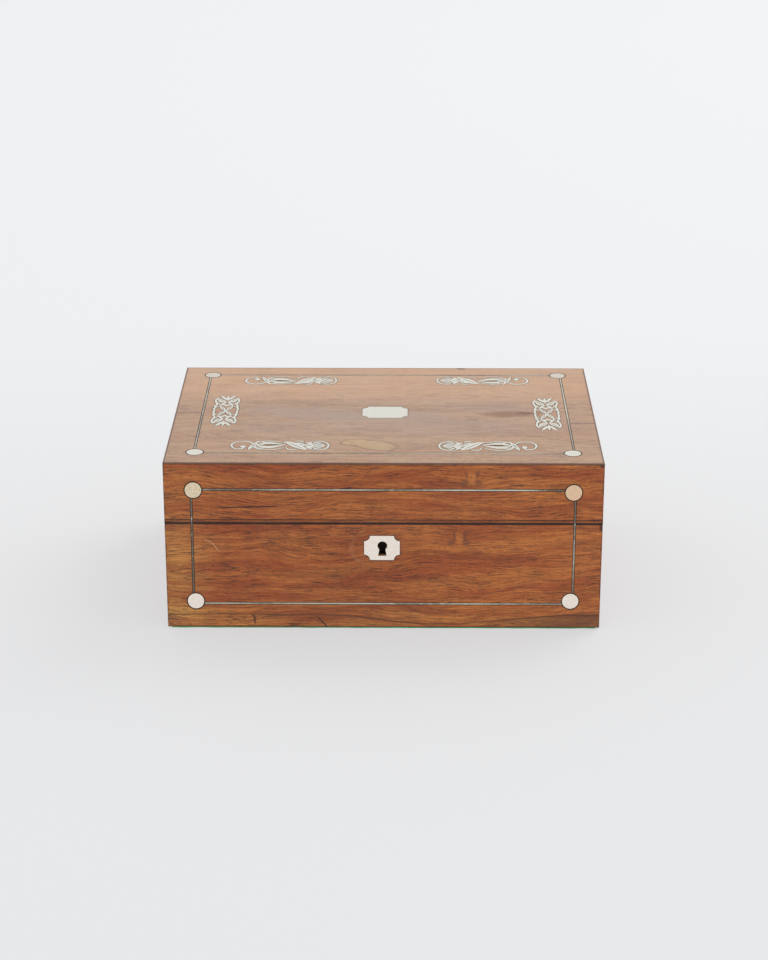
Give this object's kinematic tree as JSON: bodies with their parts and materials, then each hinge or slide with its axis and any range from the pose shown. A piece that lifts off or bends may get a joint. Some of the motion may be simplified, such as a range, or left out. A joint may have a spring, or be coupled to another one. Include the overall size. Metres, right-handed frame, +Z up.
{
  "type": "cylinder music box",
  "caption": "Wind-up cylinder music box in an inlaid rosewood case with a hinged lid, a lined well, a glazed movement, a winding key and a stop lever.",
  "frame": {"origin": "centre of the footprint, on the surface that the box stands on", "axes": "+X to the right along the longest side, +Y to the back, +Z up"},
  "size_m": [0.3, 0.202, 0.1233],
  "materials": {
    "rosewood": "French-polished, open pores",
    "carcass_wood": "planed and waxed",
    "baize": "woven wool, matte",
    "pearl": "polished mother-of-pearl, engraved",
    "pewter": "dull white-metal stringing",
    "brass": "lacquered, lightly aged",
    "steel": "fine ground",
    "blued_steel": "heat blued",
    "cast_brass": "filed and aged",
    "lead": "dull grey lead",
    "glass": "clear",
    "velvet": "short pile"
  },
  "bodies": {
    "root": {"baize_pad": "baize", "base_board": "carcass_wood", "body_front_board": "carcass_wood", "body_back_board": "carcass_wood", "body_side_boards": "carcass_wood", "body_veneer": "rosewood", "body_stringing": "pewter", "body_discs": "pearl", "keyhole_escutcheon": "pearl", "lock_case": "brass", "partition_front": "carcass_wood", "partition_sides": "carcass_wood", "glass_frame": "rosewood", "glass_pane": "glass", "well_floor_pad": "velvet", "hinge_body_leaves": "brass", "hinge_pins": "steel", "wood_screws": "brass", "bedplate": "cast_brass", "bedplate_feet": "cast_brass", "comb_base": "cast_brass", "comb": "steel", "comb_leads": "lead", "bearing_cocks": "cast_brass", "governor_frame": "cast_brass", "movement_screws": "blued_steel", "winding_plate": "brass", "click_spring": "blued_steel", "stop_lever_post": "cast_brass"},
    "lid": {"lid_top_board": "carcass_wood", "lid_front_board": "carcass_wood", "lid_back_board": "carcass_wood", "lid_side_boards": "carcass_wood", "lid_top_veneer": "rosewood", "lid_veneer": "rosewood", "lid_edging": "rosewood", "lid_stringing": "pewter", "lid_pearl": "pearl", "lid_scroll_inlays": "pearl", "lid_lining_pad": "velvet", "lid_lining_frame": "rosewood", "lid_link_plate": "brass", "hinge_lid_leaves": "brass", "hinge_lid_screws": "brass"},
    "bolt": {"lock_bolt": "steel"},
    "winding": {"winding_arbor": "steel", "ratchet_wheel": "steel", "winding_key": "brass"},
    "click": {"click": "steel"},
    "cylinder": {"cylinder_barrel": "brass", "cylinder_arbor": "steel", "cylinder_great_wheel": "brass", "cylinder_pins": "steel"},
    "barrel": {"barrel_drum": "brass", "barrel_great_wheel": "brass", "mainspring": "blued_steel"},
    "governor": {"governor_wheel": "brass"},
    "fly": {"worm_spindle": "steel", "fly": "brass"},
    "stop_lever": {"stop_lever": "brass"}
  },
  "joints": [
    {"name": "lid_hinge", "type": "hinge", "parent": "root", "child": "lid", "pos_m": [0, 0.0985, 0.0791], "axis": [-1, 0, 0], "range_deg": [0, 94]},
    {"name": "lock_bolt_slide", "type": "slide", "parent": "root", "child": "bolt", "axis": [1, 0, 0], "range_m": [0, 0.0032]},
    {"name": "winding_turn", "type": "hinge", "parent": "root", "child": "winding", "pos_m": [-0.108, 0.01922, 0.049], "axis": [1, 0, 0], "range_deg": [0, 1530]},
    {"name": "click_pivot", "type": "hinge", "parent": "root", "child": "click", "pos_m": [-0.107, 0.03722, 0.0575], "axis": [1, 0, 0], "range_deg": [0, 8], "stiffness_Nm_per_rad": 0.002},
    {"name": "cylinder_spin", "type": "hinge", "parent": "root", "child": "cylinder", "pos_m": [0, 0.048, 0.05], "axis": [1, 0, 0], "continuous": true},
    {"name": "barrel_spin", "type": "hinge", "parent": "root", "child": "barrel", "pos_m": [-0.078, 0.01922, 0.049], "axis": [1, 0, 0], "continuous": true},
    {"name": "governor_spin", "type": "hinge", "parent": "root", "child": "governor", "pos_m": [0.07, 0.0275, 0.03695], "axis": [1, 0, 0], "continuous": true},
    {"name": "fly_spin", "type": "hinge", "parent": "root", "child": "fly", "pos_m": [0.077, 0.0205, 0.045], "axis": [0, 0, 1], "continuous": true},
    {"name": "stop_lever_turn", "type": "hinge", "parent": "root", "child": "stop_lever", "pos_m": [0.112, 0.02525, 0.044], "axis": [0, 0, 1], "range_deg": [0, 12]}
  ],
  "couplings": [
    {"joint": "barrel_spin", "follows": "cylinder_spin", "ratio": -0.2},
    {"joint": "governor_spin", "follows": "cylinder_spin", "ratio": -8},
    {"joint": "fly_spin", "follows": "cylinder_spin", "ratio": -160}
  ]
}
